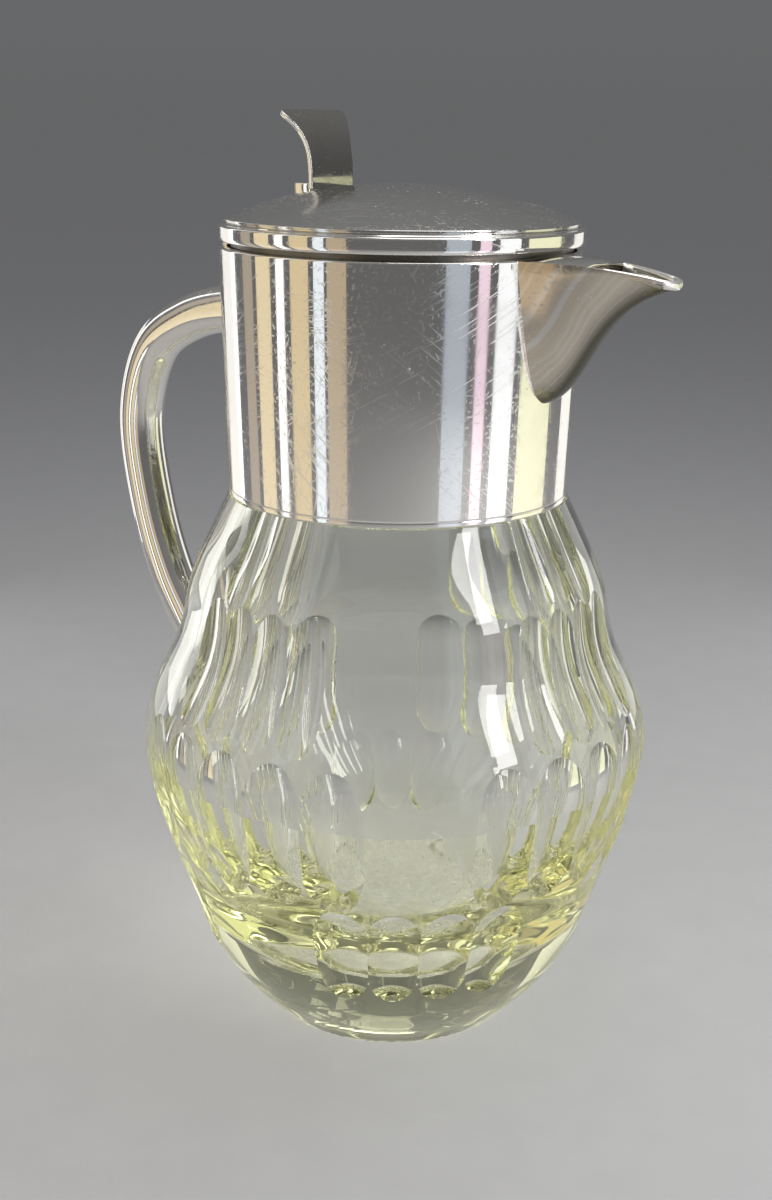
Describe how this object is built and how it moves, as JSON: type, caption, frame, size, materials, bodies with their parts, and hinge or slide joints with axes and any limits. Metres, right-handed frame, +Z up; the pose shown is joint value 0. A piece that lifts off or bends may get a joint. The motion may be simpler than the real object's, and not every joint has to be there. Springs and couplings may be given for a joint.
{
  "type": "water pitcher",
  "caption": "Covered water pitcher: bellied cut-glass body, tall silver-plated collar with pouring spout and tubular handle, hinged domed lid with thumb-piece.",
  "frame": {"origin": "centre of the flat base", "axes": "+Z up, +X towards the spout, the handle and the hinge on the -X side"},
  "size_m": [0.1876, 0.1392, 0.245],
  "materials": {
    "clear_glass": "polished",
    "silver_plate": "polished, finely scratched",
    "lid_silver": "polished, dulled and dusty on the dome",
    "setting_plaster": "matt"
  },
  "bodies": {
    "jug": {"glass_body": "clear_glass", "neck_cement_ring": "setting_plaster", "collar_band": "silver_plate", "collar_top_rim": "silver_plate", "spout_shell": "silver_plate", "spout_bridge": "silver_plate", "handle_tube": "silver_plate", "handle_end_cap": "silver_plate", "hinge_collar_leaf": "silver_plate", "hinge_pin": "silver_plate"},
    "lid": {"hinge_lid_leaf": "lid_silver", "lid_rim_band": "lid_silver", "lid_dome": "lid_silver", "lid_inner_flange": "lid_silver", "thumb_piece": "lid_silver", "thumb_piece_foot": "lid_silver"}
  },
  "joints": [
    {"name": "lid_hinge", "type": "hinge", "parent": "jug", "child": "lid", "pos_m": [-0.0508, 0, 0.21215], "axis": [0, -1, 0], "range_deg": [0, 100]}
  ]
}
